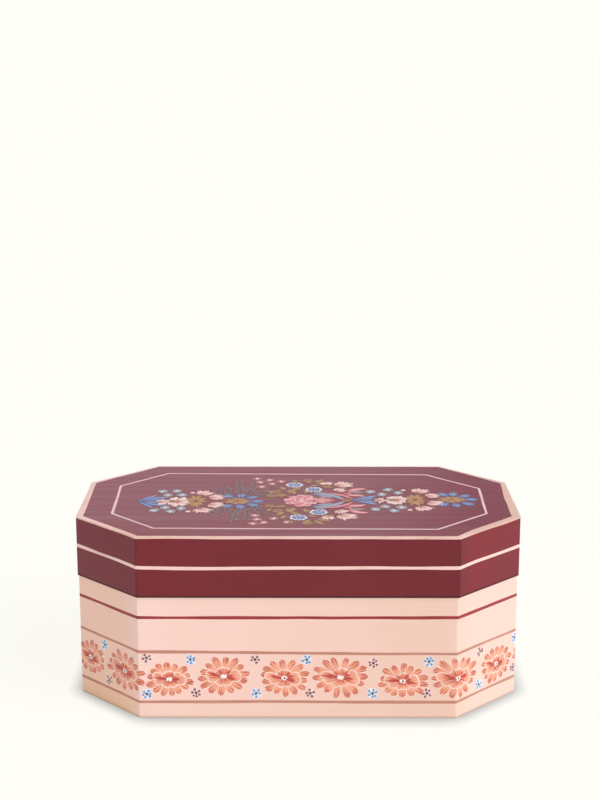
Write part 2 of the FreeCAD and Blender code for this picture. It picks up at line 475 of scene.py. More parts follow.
# Colour of each paint at a dab's root, along its body and at its tip
PAINTS = {
    "petal_edge": ((0.92, 0.66, 0.57), (0.95, 0.74, 0.66), (0.95, 0.75, 0.67)),
    "petal_rim": ((0.94, 0.72, 0.64), (0.97, 0.81, 0.75), (0.97, 0.82, 0.77)),
    "coral": ((0.9, 0.51, 0.38), (0.87, 0.375, 0.25), (0.8, 0.27, 0.18)),
    "streak_red": ((0.62, 0.17, 0.11), (0.42, 0.05, 0.035), (0.36, 0.03, 0.022)),
    "coral_heart": ((0.62, 0.13, 0.09), (0.86, 0.36, 0.24), (0.89, 0.46, 0.33)),
    "heart_glow": ((0.68, 0.15, 0.1), (0.8, 0.27, 0.18), (0.87, 0.37, 0.25)),
    "heart_line": ((0.5, 0.06, 0.045), (0.62, 0.14, 0.09), (0.76, 0.25, 0.17)),
    "heart_red": ((0.38, 0.02, 0.025), (0.52, 0.07, 0.055), (0.7, 0.2, 0.14)),
    "eye_white": ((0.9, 0.84, 0.8), (0.95, 0.9, 0.87), (0.9, 0.82, 0.8)),
    "black": ((0.012, 0.01, 0.012), (0.012, 0.01, 0.012), (0.012, 0.01, 0.012)),
    "halo_blue": ((0.7, 0.78, 0.88), (0.74, 0.8, 0.9), (0.8, 0.8, 0.86)),
    "halo_pink": ((0.85, 0.62, 0.6), (0.88, 0.66, 0.62), (0.9, 0.68, 0.62)),
    "small_blue": ((0.08, 0.17, 0.42), (0.18, 0.32, 0.61), (0.28, 0.43, 0.71)),
    "small_maroon": ((0.1, 0.02, 0.05), (0.31, 0.1, 0.13), (0.45, 0.2, 0.22)),
    "deep_blue": ((0.015, 0.035, 0.13), (0.04, 0.09, 0.25), (0.065, 0.14, 0.33)),
    "light_blue": ((0.09, 0.19, 0.4), (0.18, 0.32, 0.56), (0.38, 0.5, 0.7)),
    "violet": ((0.06, 0.03, 0.12), (0.09, 0.06, 0.2), (0.13, 0.1, 0.28)),
    "cream": ((0.5, 0.16, 0.1), (0.7, 0.42, 0.36), (0.8, 0.58, 0.54)),
    "cream_light": ((0.72, 0.48, 0.43), (0.81, 0.65, 0.61), (0.86, 0.73, 0.7)),
    "ochre": ((0.2, 0.06, 0.01), (0.36, 0.15, 0.025), (0.46, 0.22, 0.045)),
    "ochre_light": ((0.42, 0.2, 0.035), (0.54, 0.28, 0.06), (0.6, 0.35, 0.1)),
    "amber": ((0.32, 0.13, 0.02), (0.46, 0.23, 0.045), (0.55, 0.32, 0.1)),
    "ochre_line": ((0.09, 0.025, 0.01), (0.13, 0.04, 0.012), (0.2, 0.07, 0.02)),
    "leaf_ochre": ((0.15, 0.06, 0.02), (0.25, 0.12, 0.035), (0.34, 0.18, 0.06)),
    "leaf_grey": ((0.09, 0.06, 0.055), (0.2, 0.145, 0.125), (0.29, 0.215, 0.19)),
    "leaf_line": ((0.05, 0.03, 0.03), (0.04, 0.025, 0.025), (0.06, 0.04, 0.035)),
    "grey_blue": ((0.13, 0.13, 0.14), (0.24, 0.26, 0.28), (0.32, 0.35, 0.37)),
    "grey_light": ((0.34, 0.35, 0.37), (0.44, 0.46, 0.5), (0.5, 0.52, 0.56)),
    "daisy_white": ((0.5, 0.5, 0.68), (0.68, 0.68, 0.8), (0.78, 0.77, 0.84)),
    "blush": ((0.55, 0.2, 0.15), (0.75, 0.43, 0.37), (0.83, 0.6, 0.55)),
    "blush_light": ((0.77, 0.48, 0.43), (0.84, 0.63, 0.59), (0.88, 0.73, 0.69)),
    "rosebud": ((0.42, 0.11, 0.11), (0.48, 0.18, 0.19), (0.5, 0.23, 0.25)),
    "rose": ((0.4, 0.03, 0.05), (0.6, 0.16, 0.18), (0.7, 0.27, 0.28)),
    "rose_light": ((0.66, 0.25, 0.26), (0.78, 0.42, 0.42), (0.84, 0.54, 0.53)),
    "rose_deep": ((0.28, 0.012, 0.02), (0.36, 0.02, 0.03), (0.42, 0.04, 0.05)),
    "rose_line": ((0.36, 0.03, 0.035), (0.45, 0.07, 0.07), (0.6, 0.2, 0.19)),
    "salmon": ((0.4, 0.07, 0.06), (0.56, 0.2, 0.16), (0.64, 0.3, 0.25)),
    "scroll_blue": ((0.1, 0.1, 0.17), (0.2, 0.23, 0.34), (0.26, 0.31, 0.42)),
    "stem_brown": ((0.14, 0.03, 0.014), (0.19, 0.045, 0.02), (0.24, 0.07, 0.03)),
}


def gouache(paint):
    """Thick paint, shaded along a dab from its root to its tip, with bristle marks."""
    name = paint + "_paint"
    if name in bpy.data.materials:
        return bpy.data.materials[name]
    root, body, tip = (solid(tone) for tone in PAINTS[paint])
    material = bpy.data.materials.new(name)
    tree = fresh_tree(material)
    brushed = add_node(tree, "UVMap", uv_map="brush").outputs[0]
    bristles = noise_of(tree, brushed, *BRISTLES)
    uneven = compute(tree, "SUBTRACT", bristles, 0.5)
    along = compute(tree, "MULTIPLY_ADD", uneven, BRISTLE_WANDER, axes_of(tree, brushed)["Y"])
    lower = mix_colours(tree, spread(tree, along, *ROOT_RANGE), root, body)
    whole = mix_colours(tree, spread(tree, along, *TIP_RANGE), lower, tip)
    tint = add_node(tree, "Attribute", attribute_name="tint").outputs["Fac"]
    value = compute(tree, "MULTIPLY_ADD", tint, DAB_CONTRAST, DARKEST_DAB)
    value = compute(tree, "ADD", value, compute(tree, "MULTIPLY", uneven, BRISTLE_CONTRAST))
    shaded = add_node(tree, "HueSaturation", {"Color": whole, "Value": value}).outputs[0]
    rough = spread(tree, bristles, *GLOSS_RANGE, *GOUACHE_ROUGHNESS)
    varnish(tree, shaded, rough, bristles, BRISTLE_RELIEF)
    return material


def line_paint(name, colour, thin_colour, right_end=None):
    """A line drawn with a loaded brush: it thins and darkens a little now and then.

    It may have another tone round the right end of the box.
    """
    material = bpy.data.materials.new(name)
    tree = fresh_tree(material)
    place = place_of(tree)
    marks = brush_marks(tree, place)
    to_right = spread(tree, axes_of(tree, place)["X"], END_STARTS * MM, END_REACHED * MM)
    tone = mix_colours(tree, to_right, solid(colour), solid(right_end or colour))
    for share in (spread(tree, noise_of(tree, place, *THIN_PLACES), *THIN_RANGE),
                  spread(tree, marks, *LINE_STREAK_RANGE)):
        tone = mix_colours(tree, share, tone, solid(thin_colour))
    varnish(tree, tone, brushed_roughness(tree, marks, BASE_ROUGHNESS), marks, BRUSH_RELIEF)
    return material


# The outline of the box


def outline_at(inset):
    """Half length, half width and corner cut of the outline moved in."""
    return HALF_LENGTH - inset, HALF_WIDTH - inset, CORNER_CUT - inset * CUT_SHORTENING


def side_lengths(inset):
    """Lengths of the eight sides, anticlockwise from the front."""
    length, width, cut = outline_at(inset)
    slant = cut * math.sqrt(2)
    return [2 * (length - cut), slant, 2 * (width - cut), slant] * 2


def outline_corner(index, inset):
    """Corner where side number index begins."""
    length, width, cut = outline_at(inset)
    half = ((-length + cut, -width), (length - cut, -width), (length, -width + cut), (length, width - cut))
    return Vector(half[index % 4]) * (1 if index < 4 else -1)


def heading(angle):
    return Vector((math.cos(angle), math.sin(angle)))


def on_outline(along, reference, inset):
    """Point on the outline at inset, reached by a run along the outline at reference.

    The run starts at the front left corner and goes to the right along the front.
    """
    lengths = side_lengths(reference)
    along %= sum(lengths)
    side = 0
    while along > lengths[side]:
        along -= lengths[side]
        side += 1
    facing = side * TURN - math.pi / 2
    reach = CORNER_ROUND * HALF_TURN_REACH
    radius = max(CORNER_ROUND + reference - inset, SHARPEST_TURN)
    start = outline_corner(side, inset)
    finish = outline_corner((side + 1) % 8, inset)
    if reach <= along <= lengths[side] - reach:
        share = (along - reach) / (lengths[side] - 2 * reach)
        run = (finish - start).normalized()
        own_reach = radius * HALF_TURN_REACH
        return start + run * (own_reach + share * ((finish - start).length - 2 * own_reach))
    if along < reach:
        corner = start
        bisector = facing - TURN / 2
        angle = bisector + TURN / 2 * along / reach
    else:
        corner = finish
        bisector = facing + TURN / 2
        angle = bisector - TURN / 2 * (lengths[side] - along) / reach
    centre = corner - heading(bisector) * radius / math.cos(TURN / 2)
    return centre + heading(angle) * radius


def corner_runs(reference):
    """Runs along the outline where each rounded corner starts, turns and ends."""
    reach = CORNER_ROUND * HALF_TURN_REACH
    run = 0
    for length in side_lengths(reference):
        yield from (run - reach, run, run + reach)
        run += length
    yield run - reach


# Working on meshes


def only(piece):
    """Makes one piece the only one selected, and the active one."""
    bpy.ops.object.select_all(action="DESELECT")
    piece.select_set(True)
    bpy.context.view_layer.objects.active = piece


def in_edit_mode(piece, *steps):
    only(piece)
    bpy.ops.object.mode_set(mode="EDIT")
    for step in steps:
        bpy.ops.mesh.select_all(action="SELECT")
        step()
    bpy.ops.object.mode_set(mode="OBJECT")


def thicken(piece, smooth_degrees):
    """Gives a sheet of paint its thickness, behind the face that is seen, and smooths it."""
    only(piece)
    wall = piece.modifiers.new("thickness", "SOLIDIFY")
    wall.thickness = PAINT_DEPTH * MM
    wall.offset = -1
    bpy.ops.object.modifier_apply(modifier=wall.name)
    bpy.ops.object.shade_smooth_by_angle(angle=math.radians(smooth_degrees))


def hand_over(piece, name, body, slot, material):
    """Names and paints a finished piece, and says what it rides on. The slot is not used."""
    piece.name = name
    piece.data.materials.append(material)
    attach(piece, body)


def between(profile, share):
    """The value of a profile, a list of shares and values, at any share."""
    for (low, first), (high, second) in zip(profile, profile[1:]):
        if share <= high:
            return first + (second - first) * (share - low) / (high - low)
    return profile[-1][1]


def unit_sheet(name, profile):
    """Turns the flat shape just made, one long and one wide, into a dab with its root at the origin.

    The profile is its width at each share of its length.
    """
    piece = bpy.context.object
    piece.name = name
    in_edit_mode(piece, lambda: bpy.ops.transform.translate(value=(0, 0.5, 0)))
    for vertex in piece.data.vertices:
        if abs(vertex.co.x) < 0.01 and 0.01 < vertex.co.y < 0.99:
            vertex.co.z = DAB_CROWN * MM
        vertex.co.x *= between(profile, vertex.co.y)
    thicken(piece, DAB_SMOOTH_DEGREES)
    mesh = piece.data
    while mesh.uv_layers:
        mesh.uv_layers.remove(mesh.uv_layers[0])
    layer = mesh.uv_layers.new(name="brush")
    for loop in mesh.loops:
        co = mesh.vertices[loop.vertex_index].co
        layer.data[loop.index].uv = (co.x + 0.5, co.y)
    bpy.context.collection.objects.unlink(piece)
    return mesh


def dab_shape(name, corners, profile):
    """A rounded dab."""
    bpy.ops.mesh.primitive_circle_add(vertices=corners, radius=0.5, fill_type="TRIFAN")
    return unit_sheet(name, profile)


def stroke_shape(name, rows, profile):
    """A long stroke, to be bent along a curve."""
    bpy.ops.mesh.primitive_grid_add(x_subdivisions=2, y_subdivisions=rows, size=1)
    return unit_sheet(name, profile)


PETAL = dab_shape("petal", 16, ((0, 0.45), (0.2, 0.6), (0.5, 0.85), (0.8, 1.15), (1, 1.3)))
BLADE = dab_shape("blade", 16, ((0, 0.5), (0.25, 0.75), (0.55, 1.02), (0.8, 1.1), (0.95, 0.85), (1, 0.6)))
LEAF = dab_shape("leaf", 14, ((0, 0.5), (0.2, 0.9), (0.5, 1), (0.75, 0.8), (0.95, 0.4), (1, 0.3)))
WEDGE = dab_shape("wedge", 12, ((0, 1.25), (0.25, 1.2), (0.5, 0.8), (0.8, 0.5), (1, 0.25)))
DROP = dab_shape("drop", 12, ((0, 0.3), (0.3, 0.6), (0.6, 0.95), (1, 1.15)))
DOT = dab_shape("dot", 14, ((0, 1), (1, 1)))
STREAK = stroke_shape("streak", 3, ((0, 0.3), (0.3, 1), (0.7, 0.8), (1, 0.15)))
STEM = stroke_shape("stem", 10, ((0, 0.8), (0.5, 1), (1, 0.3)))
PLUME = stroke_shape("plume", 12, ((0, 0.1), (0.3, 0.5), (0.62, 1), (0.82, 0.75), (1, 0.1)))
RIBBON = stroke_shape("ribbon", 12, ((0, 0.15), (0.25, 0.8), (0.55, 1), (0.8, 0.7), (1, 0.1)))


def join(meshes, name):
    """One piece from many meshes."""
    pieces = [link(bpy.data.objects.new(name, mesh)) for mesh in meshes]
    only(pieces[0])
    for piece in pieces:
        piece.select_set(True)
    if len(pieces) > 1:
        bpy.ops.object.join()
    pieces[0].name = name
    pieces[0].data.name = name
    return pieces[0]


def cut_across(piece, runs):
    """Cuts a flat pattern across at some runs, so that it can turn a corner there."""
    cuts = [partial(bpy.ops.mesh.bisect, plane_co=(run * MM, 0, 0), plane_no=(1, 0, 0)) for run in runs]
    in_edit_mode(piece, *cuts)


class Panel:
    """A painted panel. Its dabs are laid out flat, and become one piece for each paint and coat."""

    def __init__(self, name, body, slot, seed):
        self.name = name
        self.body = body
        self.slot = slot
        self.luck = random.Random(seed)
        self.dabs = {}

    def lay(self, paint, coat, mesh):
        """Keeps a dab that has its shape and place, at the height of its coat."""
        lift = FIRST_COAT + coat * COAT_STEP + self.luck.uniform(0, COAT_STEP / 4)
        mesh.transform(Matrix.Translation((0, 0, lift * MM)))
        tint = mesh.attributes.new("tint", "FLOAT", "POINT")
        tint.data.foreach_set("value", [self.luck.random()] * len(mesh.vertices))
        self.dabs.setdefault((coat, paint), []).append(mesh)

    def dab(self, paint, coat, shape, spot, angle, length, width):
        """A dab with its root at a spot, pointing at an angle in degrees."""
        mesh = shape.copy()
        turn = Matrix.Rotation(math.radians(angle - 90), 4, "Z")
        size = Matrix.Diagonal((width * MM, length * MM, 1, 1))
        mesh.transform(Matrix.Translation((spot[0] * MM, spot[1] * MM, 0)) @ turn @ size)
        self.lay(paint, coat, mesh)

    def stroke(self, paint, coat, shape, root, pull, tip, width):
        """A stroke along the curve from its root to its tip, drawn towards a point between."""
        mesh = shape.copy()
        for vertex in mesh.vertices:
            spot, run = on_curve(root, pull, tip, vertex.co.y)
            run.normalize()
            side = Vector((run.y, -run.x)) * vertex.co.x * width
            vertex.co = Vector(((spot.x + side.x) * MM, (spot.y + side.y) * MM, vertex.co.z))
        self.lay(paint, coat, mesh)

    def blot(self, paint, coat, centre, height, width):
        """A round dab that is centred on a spot."""
        self.dab(paint, coat, DOT, (centre[0], centre[1] - height / 2), 90, height, width)

    def ring(self, centre, radii, paint, coat, shape, count, inner, outer, width, ragged=0.05, start=None):
        """Dabs that point outwards all round a centre, between two shares of an ellipse's radii."""
        if start is None:
            start = self.luck.uniform(0, 360)
        for number in range(count):
            angle = start + (number + 3 * self.luck.uniform(-ragged, ragged)) * 360 / count
            reach = outer * self.luck.uniform(1 - ragged, 1 + ragged)
            root, point, length = ray(centre, radii, angle, inner, reach)
            self.dab(paint, coat, shape, root, point, length, width * self.luck.uniform(0.9, 1.1))

    def flower(self, kind, centre, radii, scale=1.0, petals=None):
        """A flower that is rings and blots alone. The scale is for the widths of its dabs."""
        for paint, coat, shape, *row in FLOWERS[kind]:
            if shape is DOT:
                height, width = row
                self.blot(paint, coat, centre, height * scale, width * scale)
            else:
                count, inner, outer, width, *more = row
                count = count or petals
                self.ring(centre, radii, paint, coat, shape, count, inner, outer, width * scale, *more)

    def finish(self, place, corners=()):
        """Joins the dabs of each paint and coat, and carries them to the box.

        The corners are the runs along the panel at which it turns.
        """
        for (coat, paint), dabs in sorted(self.dabs.items()):
            name = f"{self.name}_{paint}_{coat}"
            flat = [dab for dab in dabs if not crosses(dab, corners)]
            turning = [dab for dab in dabs if crosses(dab, corners)]
            if turning:
                bent = join(turning, name)
                low, high = reach_along(bent.data)
                cut_across(bent, [run for run in corners if low < run < high])
                flat.append(bent.data)
                bpy.data.objects.remove(bent)
            piece = join(flat, name)
            place(piece)
            piece.data.materials.clear()
            hand_over(piece, name, self.body, self.slot, gouache(paint))


def on_curve(root, pull, tip, share):
    """Place and direction at a share of the curve between two points, drawn towards a third."""
    root, pull, tip = Vector(root), Vector(pull), Vector(tip)
    spot = root * (1 - share) ** 2 + pull * 2 * share * (1 - share) + tip * share ** 2
    return spot, (pull - root) * (1 - share) + (tip - pull) * share


def reach_along(mesh):
    runs = [vertex.co.x / MM for vertex in mesh.vertices]
    return min(runs), max(runs)


def crosses(mesh, corners):
    """Whether a dab lies over a place where its panel turns."""
    low, high = reach_along(mesh)
    return any(low < run < high for run in corners)


def carry_to_walls(piece):
    """Wraps a pattern round the base, its bottom edge at the floor."""
    for vertex in piece.data.vertices:
        along, height, lift = vertex.co / MM
        vertex.co = Vector((*on_outline(along, BASE_INSET, BASE_INSET - lift), height)) * MM


def carry_to_lid(piece):
    """Raises a pattern to the top of the lid, a little askew as the photograph shows it."""
    place = Matrix.Translation((LID_DRAWING_SHIFT[0] * MM, LID_DRAWING_SHIFT[1] * MM, TOP * MM))
    piece.data.transform(place @ Matrix.Rotation(math.radians(LID_DRAWING_TURN_DEGREES), 4, "Z"))


# Painted lines


def wobble(spot, seed, waves):
    """A small even-handed wander that depends on the place alone, from -1 to 1."""
    return 2 * noise.noise(Vector((spot[0] * waves, spot[1] * waves, seed)))


def painted_line(name, body, slot, material, rows, profile, drift, wander, bend):
    """A line that runs all round the box, with slightly uneven edges and a rounded top.

    The rows are its measures across. It drifts slowly as a whole, and its edges wander. The
    bend says how far a row moves at a spot.
    """
    reference = 0 if body == "lid" else BASE_INSET
    length = sum(side_lengths(reference))
    last = len(rows) - 1
    bpy.ops.mesh.primitive_grid_add(x_subdivisions=int(length / LINE_STEP), y_subdivisions=last, size=1)
    piece = bpy.context.object
    piece.data.transform(Matrix.Diagonal((length * MM, 1, 1, 1)) @ Matrix.Translation((0.5, 0.5, 0)))
    cut_across(piece, [run for run in corner_runs(reference) if 0 < run < length])
    for vertex in piece.data.vertices:
        along = vertex.co.x / MM
        row = round(vertex.co.y * last)
        spot = on_outline(along, reference, reference)
        across = rows[row] + drift * wobble(spot, rows[0], DRIFT_WAVES) + bend(spot, row)
        crown = LINE_LIFT
        if row in (0, last):
            across += wander * wobble(spot, 7 * rows[row], WANDER_WAVES)
            crown = FIRST_COAT
        inset, tall = profile(across, crown)
        vertex.co = Vector((*on_outline(along, reference, inset), tall)) * MM
    finish_line(piece, name, body, slot, material)


def finish_line(piece, name, body, slot, material):
    """Closes a line where its ends meet, and thickens it."""
    in_edit_mode(piece, lambda: bpy.ops.mesh.remove_doubles(threshold=ENDS_MEET_WITHIN * MM))
    thicken(piece, LINE_SMOOTH_DEGREES)
    hand_over(piece, name, body, slot, material)


def towards_end(spot):
    """Zero along the front and back of the box, and one round its ends."""
    return min(max((abs(spot[0]) - END_STARTS) / (END_REACHED - END_STARTS), 0), 1)


def sway(tilt, rise, spot, _row):
    """A line that falls to the right by the tilt, and runs higher round the ends by the rise."""
    return rise * towards_end(spot) - tilt * spot[0] / HALF_LENGTH


def border_bend(spot, row):
    """The border is wider round the ends, most of all on the right, and narrower behind."""
    ends = towards_end(spot)
    if row == 0:
        return BORDER_RAISED_AT_ENDS * ends
    widened = ends * (BORDER_EXTRA_AT_ENDS + BORDER_EXTRA_TO_THE_RIGHT * math.copysign(1, spot[0]))
    behind = min(max(spot[1] / HALF_WIDTH, 0), 1)
    return BORDER_WIDENS[row] * (widened * (1 - behind) - BORDER_LESS_BEHIND * behind)


def on_base_wall(across, lift):
    return BASE_INSET - lift, across


def on_lid_side(across, lift):
    return -lift, across


def over_lid_edge(across, lift):
    """Inset and height of a measure that starts down the side and goes over the rounded rim."""
    if across > RIM_ROUND:
        return across, TOP + lift
    if across < -RIM_ROUND:
        return -lift, TOP + across
    angle = (across + RIM_ROUND) / (2 * RIM_ROUND) * math.pi / 2
    radius = RIM_ROUND + lift
    return RIM_ROUND - radius * math.cos(angle), TOP - RIM_ROUND + radius * math.sin(angle)


def mitred(index, across):
    """A corner of the inner line, moved inwards by a measure."""
    count = len(INNER_LINE_CORNERS)
    before, here, after = (Vector(INNER_LINE_CORNERS[(index + step) % count]) for step in (-1, 0, 1))
    arriving, leaving = (here - before).normalized(), (after - here).normalized()
    inwards = Vector((-arriving.y, arriving.x)), Vector((-leaving.y, leaving.x))
    return here + (inwards[0] + inwards[1]) * across / (1 + inwards[0].dot(inwards[1]))


def paint_inner_line(material):
    """The thin line inside the border, which its painter drew a little askew."""
    count = len(INNER_LINE_CORNERS)
    last = len(INNER_LINE) - 1
    bpy.ops.mesh.primitive_grid_add(x_subdivisions=count * INNER_LINE_STEPS, y_subdivisions=last, size=1)
    piece = bpy.context.object
    for vertex in piece.data.vertices:
        run = (vertex.co.x + 0.5) * count
        side = min(int(run + ROUNDING), count - 1)
        row = round((vertex.co.y + 0.5) * last)
        across = INNER_LINE[row]
        spot = mitred(side, across).lerp(mitred(side + 1, across), run - side)
        shift = INNER_LINE_DRIFT * wobble(spot, 5, INNER_LINE_DRIFT_WAVES)
        tall = TOP + LINE_LIFT
        if row in (0, last):
            shift += LINE_WANDER * wobble(spot, 9 * row, INNER_LINE_WANDER_WAVES)
            tall = TOP + FIRST_COAT
        vertex.co = Vector((spot.x + shift, spot.y + shift, tall)) * MM
    finish_line(piece, "lid_inner_line", "lid", "pale_paint", material)


def paint_lines():
    tan = line_paint("tan_line_paint", (0.83, 0.55, 0.475), (0.74, 0.42, 0.34), (0.7, 0.46, 0.36))
    pink = line_paint("pink_line_paint", (0.8, 0.55, 0.54), (0.72, 0.44, 0.44))
    pale = line_paint("pale_line_paint", (0.93, 0.65, 0.58), (0.86, 0.55, 0.48))
    red = line_paint("maroon_line_paint", (0.36, 0.035, 0.04), (0.26, 0.025, 0.03))
    clay = line_paint("terracotta_line_paint", (0.53, 0.235, 0.17), (0.6, 0.3, 0.22))
    painted_line("lid_edge_border", "lid", "pale_paint", tan, BORDER, over_lid_edge, 0, BORDER_WANDER,
                 border_bend)
    paint_inner_line(pink)
    for name, body, slot, paint, rows, profile, tilt, rise in (
            ("lid_side_line", "lid", "pale_paint", pale, LID_SIDE_LINE, on_lid_side, 0.0, 0.65),
            ("base_maroon_line", "base", "maroon_paint", red, MAROON_LINE, on_base_wall, -0.15, 0.0),
            ("band_upper_line", "base", "pale_paint", clay, UPPER_BAND_LINE, on_base_wall, 0.8, 0.35),
            ("band_lower_line", "base", "pale_paint", clay, LOWER_BAND_LINE, on_base_wall, 0.05, 0.45)):
        bend = partial(sway, tilt, rise)
        painted_line(name, body, slot, paint, rows, profile, LINE_DRIFT, LINE_WANDER, bend)


def ellipse(centre, radii, angle, share):
    """The point that lies at an angle and at a share of an ellipse's radii."""
    turn = math.radians(angle)
    return (centre[0] + radii[0] * share * math.cos(turn), centre[1] + radii[1] * share * math.sin(turn))


def ray(centre, radii, angle, inner, outer):
    """Root, direction and length of a dab between two shares of an ellipse's radii."""
    root = ellipse(centre, radii, angle, inner)
    tip = ellipse(centre, radii, angle, outer)
    across, up = tip[0] - root[0], tip[1] - root[1]
    return root, math.degrees(math.atan2(up, across)), math.hypot(across, up)


# Flower band round the base

# Seeds of the chances: of the blossoms behind, and of the dabs of the band and of the sprays
BACK_SEED = 11
BAND_SEED = 21
SPRAY_SEED = 41

# Of each blossom seen: run along the front from its left corner, height above the floor, width,
# own height, and whether its eye has a black dot
BLOSSOMS_SEEN = (
    (-42.8, 23.6, 26.0, 21.5, True), (-12.0, 24.3, 30.5, 23.8, True), (16.9, 22.9, 26.2, 21.0, False),
    (46.9, 24.7, 29.5, 23.4, False), (80.2, 23.7, 28.0, 22.0, True), (111.2, 24.2, 31.0, 24.0, False),
    (145.6, 22.0, 28.2, 21.4, True), (176.2, 23.4, 33.0, 25.0, True), (209.6, 22.2, 27.5, 22.0, True),
    (238.0, 22.8, 27.0, 21.5, False),
)
# Of the blossoms behind: ranges of shift along the band, height above the floor, width and own
# height
BLOSSOMS_UNSEEN = 12
UNSEEN_RANGES = ((-0.8, 0.8), (22.2, 24.2), (26.0, 29.0), (20.5, 22.8))
DOTTED_SHARE = 0.6
OUTER_PETALS = 14
# Direction, reach and width of each inner petal, as shares of the blossom, in the order they overlap
INNER_PETALS = (
    ((-56, 0.46, 0.19), (-124, 0.46, 0.19), (-90, 0.42, 0.17)),
    ((166, 0.73, 0.16), (-160, 0.6, 0.13), (-12, 0.66, 0.2), (22, 0.6, 0.16)),
    ((70, 0.4, 0.19), (112, 0.4, 0.21)),
)
# Direction, start, reach and width of each dark wedge in a blossom's heart
HEART_WEDGES = (
    (166, 0.32, 0.66, 1.3), (-8, 0.25, 0.55, 1.8), (-30, 0.2, 0.4, 0.8), (14, 0.2, 0.4, 0.8),
    (60, 0.2, 0.42, 1.1), (118, 0.2, 0.38, 0.8),
)
# Paint, direction, spread to each side, reach and number of the fine strokes in it
HEART_STROKES = (
    ("heart_red", 172, 14, 0.58, 4), ("heart_red", -8, 22, 0.46, 4),
    ("heart_line", 90, 52, 0.45, 8), ("heart_line", -90, 52, 0.4, 7),
)
# Of the small flowers above and below each gap, how far they stand from its middle and how high
SMALL_FLOWERS_SEEN = (
    ((-2.4, 34.6), (1.3, 14.8)), ((2.2, 35.4), (1.8, 14.3)), ((-3.3, 34.6), (-0.4, 14.8)),
    ((0.7, 34.6), (1.1, 14.8)), ((-3.1, 34.6), (-1.1, 14.8)), ((0.9, 32.6), (0.6, 14.8)),
    ((-1.05, 33.4), (-1.9, 14.8)), ((2.1, 34.0), (1.6, 14.2)), ((2.4, 33.4), (1.8, 15.4)),
)
# Paints of the small flowers' dabs and halos
SMALL_FLOWER_KINDS = (("small_blue", "halo_blue"), ("small_maroon", "halo_pink"))


def blossom_places():
    """The blossoms that the photograph shows, and those that carry the band on round the back."""
    yield from BLOSSOMS_SEEN
    luck = random.Random(BACK_SEED)
    start = BLOSSOMS_SEEN[-1][0]
    gap = sum(side_lengths(BASE_INSET)) + BLOSSOMS_SEEN[0][0] - start
    step = gap / (BLOSSOMS_UNSEEN + 1)
    for count in range(1, BLOSSOMS_UNSEEN + 1):
        shift, *measures = (luck.uniform(*limits) for limits in UNSEEN_RANGES)
        yield start + step * count + shift, *measures, luck.random() < DOTTED_SHARE


def paint_outer_petal(band, coat, centre, radii, angle):
    """A petal with fine dark lines that run out over its ragged tip."""
    luck = band.luck
    root, point, length = ray(centre, radii, angle, 0.3, luck.uniform(0.9, 1.07))
    width = luck.uniform(3.9, 4.7)
    band.dab("petal_edge", coat, BLADE, root, point, length + 0.3, width + 0.8)
    band.dab("coral", coat + 1, BLADE, root, point, length, width)
    run = heading(math.radians(point))
    side = Vector((-run.y, run.x))
    lanes = luck.choice((2, 3, 3, 4))
    for lane in range(lanes):
        aside = ((lane + 0.5) / lanes - 0.5) * width * 0.92 + luck.uniform(-0.2, 0.2)
        start = Vector(root) + run * length * luck.uniform(0.38, 0.64) + side * aside * 0.6
        finish = Vector(root) + run * (length * luck.uniform(0.95, 1.04) - abs(aside) * 0.45) + side * aside
        hair = finish - start
        swing = math.degrees(math.atan2(hair.y, hair.x))
        band.dab("streak_red", coat + 2, BLADE, start, swing, hair.length, luck.uniform(0.32, 0.5))


def paint_blossom(band, centre, radii, dotted):
    """A big coral blossom: two rings of petals with dark hearts, round a white eye."""
    luck = band.luck
    start = luck.uniform(0, 360)
    for count in range(OUTER_PETALS):
        angle = start + (count + luck.uniform(-0.13, 0.13)) * 360 / OUTER_PETALS
        paint_outer_petal(band, 2 * (count % 2), centre, radii, angle)
    for layer, petals in enumerate(INNER_PETALS):
        coat = 5 + 2 * layer
        for direction, share, spread_out in petals:
            angle = direction + luck.uniform(-9, 9)
            root, point, length = ray(centre, radii, angle, 0.04, share * luck.uniform(0.92, 1.06))
            width = 2 * radii[0] * spread_out * luck.uniform(0.9, 1.05)
            band.dab("petal_rim", coat, PETAL, root, point, length + 0.42, width + 0.84)
            band.dab("coral_heart", coat + 1, PETAL, root, point, length, width)
    for direction, inner, share, width in HEART_WEDGES:
        angle = direction + luck.uniform(-12, 12)
        outer = share * luck.uniform(0.82, 1.1)
        wide = width * luck.uniform(0.6, 1.15)
        band.dab("heart_glow", 11, WEDGE, *ray(centre, radii, angle, inner * 0.8, outer * 1.12), wide * 1.6)
        band.dab("heart_red", 12, WEDGE, *ray(centre, radii, angle, inner, outer), wide)
    for paint, direction, spread_out, share, count in HEART_STROKES:
        for number in range(count):
            swing = spread_out * (2 * number / (count - 1) - 1) + luck.uniform(-3, 3)
            line = ray(centre, radii, direction + swing, 0.14, share * luck.uniform(0.7, 1.15))
            band.dab(paint, 13, STREAK, *line, luck.uniform(0.35, 0.6))
    band.ring(centre, (1.8, 1.4), "eye_white", 14, DROP, 7, 0, 1, 1.1, 0.15)
    if dotted:
        band.blot("black", 15, (centre[0] + 0.1, centre[1]), 1.0, 1.15)


def paint_small_flower(band, centre, dabs, halo):
    """A small flower of five or six dabs round a black eye, on a pale halo."""
    petals = band.luck.choice((5, 6))
    band.ring(centre, (1, 1), halo, 0, DROP, 7, 0, 3.2, 2.6)
    band.ring(centre, (1, 1), dabs, 2, DROP, petals, 1.1, 2.8, 1.6, 0.08)
    band.blot("black", 3, centre, 1.3, 1.3)
    for swing in (20, 140, 260):
        band.dab("black", 3, STREAK, centre, swing + band.luck.uniform(-30, 30), 1.4, 0.4)


